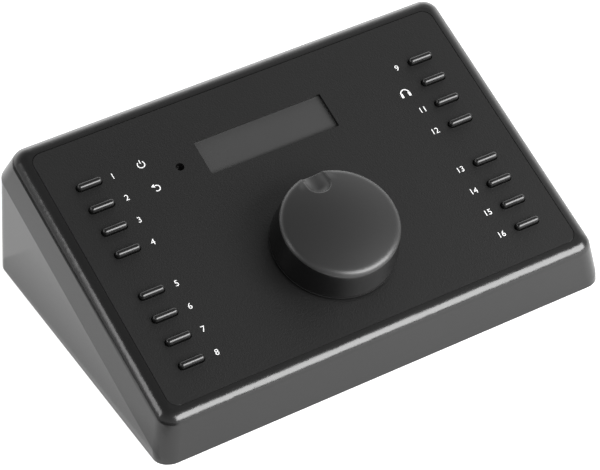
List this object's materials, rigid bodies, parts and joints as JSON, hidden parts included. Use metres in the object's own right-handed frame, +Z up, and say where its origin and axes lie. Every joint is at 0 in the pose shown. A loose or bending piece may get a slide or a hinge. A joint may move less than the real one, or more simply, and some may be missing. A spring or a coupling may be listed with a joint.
{
  "type": "studio monitor controller",
  "caption": "Desktop audio controller: a black wedge housing with a sloping fascia, two columns of slim keys, a display and one large push-and-turn knob, with sockets at the back.",
  "frame": {"origin": "on the table, under the middle of the housing's outline", "axes": "+X to the user's right, +Y to the back, +Z up; the deck slopes 20 degrees down towards the user"},
  "size_m": [0.2008, 0.1348, 0.0648],
  "materials": {
    "housing": "satin black moulded housing, smooth, with a soft sheen",
    "fascia": "fine-textured black lacquer",
    "window": "smoked matt anti-glare pane",
    "foam": "closed-cell foam",
    "display": "dark display glass, unlit",
    "bracket": "moulded",
    "clear": "dark tinted, polished end",
    "chip": "moulded epoxy",
    "board": "solder-resist over fibreglass",
    "screw": "blackened steel",
    "switch": "moulded",
    "nickel": "bright nickel plate",
    "shaft": "turned",
    "knob": "satin black, very fine texture",
    "base": "black powder coat",
    "rear": "fine-textured black lacquer",
    "socket": "moulded",
    "header": "moulded",
    "ribbon": "flat ribbon",
    "rubber": "matt",
    "key": "satin moulded key",
    "print": "light grey printed ink",
    "contact": "gold-plated contact"
  },
  "bodies": {
    "housing": {"top_housing": "housing", "fascia_panel": "fascia", "display_window": "window", "display_gasket": "foam", "display_module": "display", "display_bracket": "bracket", "light_pipe": "clear", "light_sensor": "chip", "control_board": "board", "control_board_screws": "screw", "tactile_switches": "switch", "encoder_body": "switch", "encoder_washer": "nickel", "encoder_nut": "nickel", "base_plate": "base", "base_plate_screws": "screw", "main_board": "board", "main_board_screws": "screw", "main_board_chips": "chip", "rear_panel": "rear", "rear_panel_screws": "screw", "dc_inlet": "socket", "usb_socket": "nickel", "network_socket": "socket", "remote_socket": "socket", "digital_socket": "socket", "jack_nuts": "nickel", "ribbon_headers": "header", "ribbon_cable": "ribbon", "input_jack_left": "socket", "input_jack_right": "socket", "output_jack_left": "socket", "output_jack_right": "socket", "headphone_jack": "socket", "foot_front_left": "rubber", "foot_front_right": "rubber", "foot_rear_left": "rubber", "foot_rear_right": "rubber"},
    "knob_plunger": {"encoder_plunger": "nickel"},
    "knob": {"encoder_shaft": "shaft", "knob": "knob"},
    "key_left_1": {"key_left_1": "key"},
    "key_left_2": {"key_left_2": "key"},
    "key_left_3": {"key_left_3": "key"},
    "key_left_4": {"key_left_4": "key"},
    "key_left_5": {"key_left_5": "key"},
    "key_left_6": {"key_left_6": "key"},
    "key_left_7": {"key_left_7": "key"},
    "key_left_8": {"key_left_8": "key"},
    "key_right_1": {"key_right_1": "key"},
    "key_right_2": {"key_right_2": "key"},
    "key_right_3": {"key_right_3": "key"},
    "key_right_4": {"key_right_4": "key"},
    "key_right_5": {"key_right_5": "key"},
    "key_right_6": {"key_right_6": "key"},
    "key_right_7": {"key_right_7": "key"},
    "key_right_8": {"key_right_8": "key"}
  },
  "joints": [
    {"name": "key_left_1_press", "type": "slide", "parent": "housing", "child": "key_left_1", "axis": [0, 0.342, -0.9397], "range_m": [0, 0.0005], "stiffness_N_per_m": 2500},
    {"name": "key_left_2_press", "type": "slide", "parent": "housing", "child": "key_left_2", "axis": [0, 0.342, -0.9397], "range_m": [0, 0.0005], "stiffness_N_per_m": 2500},
    {"name": "key_left_3_press", "type": "slide", "parent": "housing", "child": "key_left_3", "axis": [0, 0.342, -0.9397], "range_m": [0, 0.0005], "stiffness_N_per_m": 2500},
    {"name": "key_left_4_press", "type": "slide", "parent": "housing", "child": "key_left_4", "axis": [0, 0.342, -0.9397], "range_m": [0, 0.0005], "stiffness_N_per_m": 2500},
    {"name": "key_left_5_press", "type": "slide", "parent": "housing", "child": "key_left_5", "axis": [0, 0.342, -0.9397], "range_m": [0, 0.0005], "stiffness_N_per_m": 2500},
    {"name": "key_left_6_press", "type": "slide", "parent": "housing", "child": "key_left_6", "axis": [0, 0.342, -0.9397], "range_m": [0, 0.0005], "stiffness_N_per_m": 2500},
    {"name": "key_left_7_press", "type": "slide", "parent": "housing", "child": "key_left_7", "axis": [0, 0.342, -0.9397], "range_m": [0, 0.0005], "stiffness_N_per_m": 2500},
    {"name": "key_left_8_press", "type": "slide", "parent": "housing", "child": "key_left_8", "axis": [0, 0.342, -0.9397], "range_m": [0, 0.0005], "stiffness_N_per_m": 2500},
    {"name": "key_right_1_press", "type": "slide", "parent": "housing", "child": "key_right_1", "axis": [0, 0.342, -0.9397], "range_m": [0, 0.0005], "stiffness_N_per_m": 2500},
    {"name": "key_right_2_press", "type": "slide", "parent": "housing", "child": "key_right_2", "axis": [0, 0.342, -0.9397], "range_m": [0, 0.0005], "stiffness_N_per_m": 2500},
    {"name": "key_right_3_press", "type": "slide", "parent": "housing", "child": "key_right_3", "axis": [0, 0.342, -0.9397], "range_m": [0, 0.0005], "stiffness_N_per_m": 2500},
    {"name": "key_right_4_press", "type": "slide", "parent": "housing", "child": "key_right_4", "axis": [0, 0.342, -0.9397], "range_m": [0, 0.0005], "stiffness_N_per_m": 2500},
    {"name": "key_right_5_press", "type": "slide", "parent": "housing", "child": "key_right_5", "axis": [0, 0.342, -0.9397], "range_m": [0, 0.0005], "stiffness_N_per_m": 2500},
    {"name": "key_right_6_press", "type": "slide", "parent": "housing", "child": "key_right_6", "axis": [0, 0.342, -0.9397], "range_m": [0, 0.0005], "stiffness_N_per_m": 2500},
    {"name": "key_right_7_press", "type": "slide", "parent": "housing", "child": "key_right_7", "axis": [0, 0.342, -0.9397], "range_m": [0, 0.0005], "stiffness_N_per_m": 2500},
    {"name": "key_right_8_press", "type": "slide", "parent": "housing", "child": "key_right_8", "axis": [0, 0.342, -0.9397], "range_m": [0, 0.0005], "stiffness_N_per_m": 2500},
    {"name": "knob_push", "type": "slide", "parent": "housing", "child": "knob_plunger", "axis": [0, 0.342, -0.9397], "range_m": [0, 0.0005], "stiffness_N_per_m": 8000, "springref_m": -0.0002},
    {"name": "knob_turn", "type": "hinge", "parent": "knob_plunger", "child": "knob", "pos_m": [0, -0.02609, 0.03661], "axis": [0, -0.342, 0.9397], "continuous": true}
  ]
}
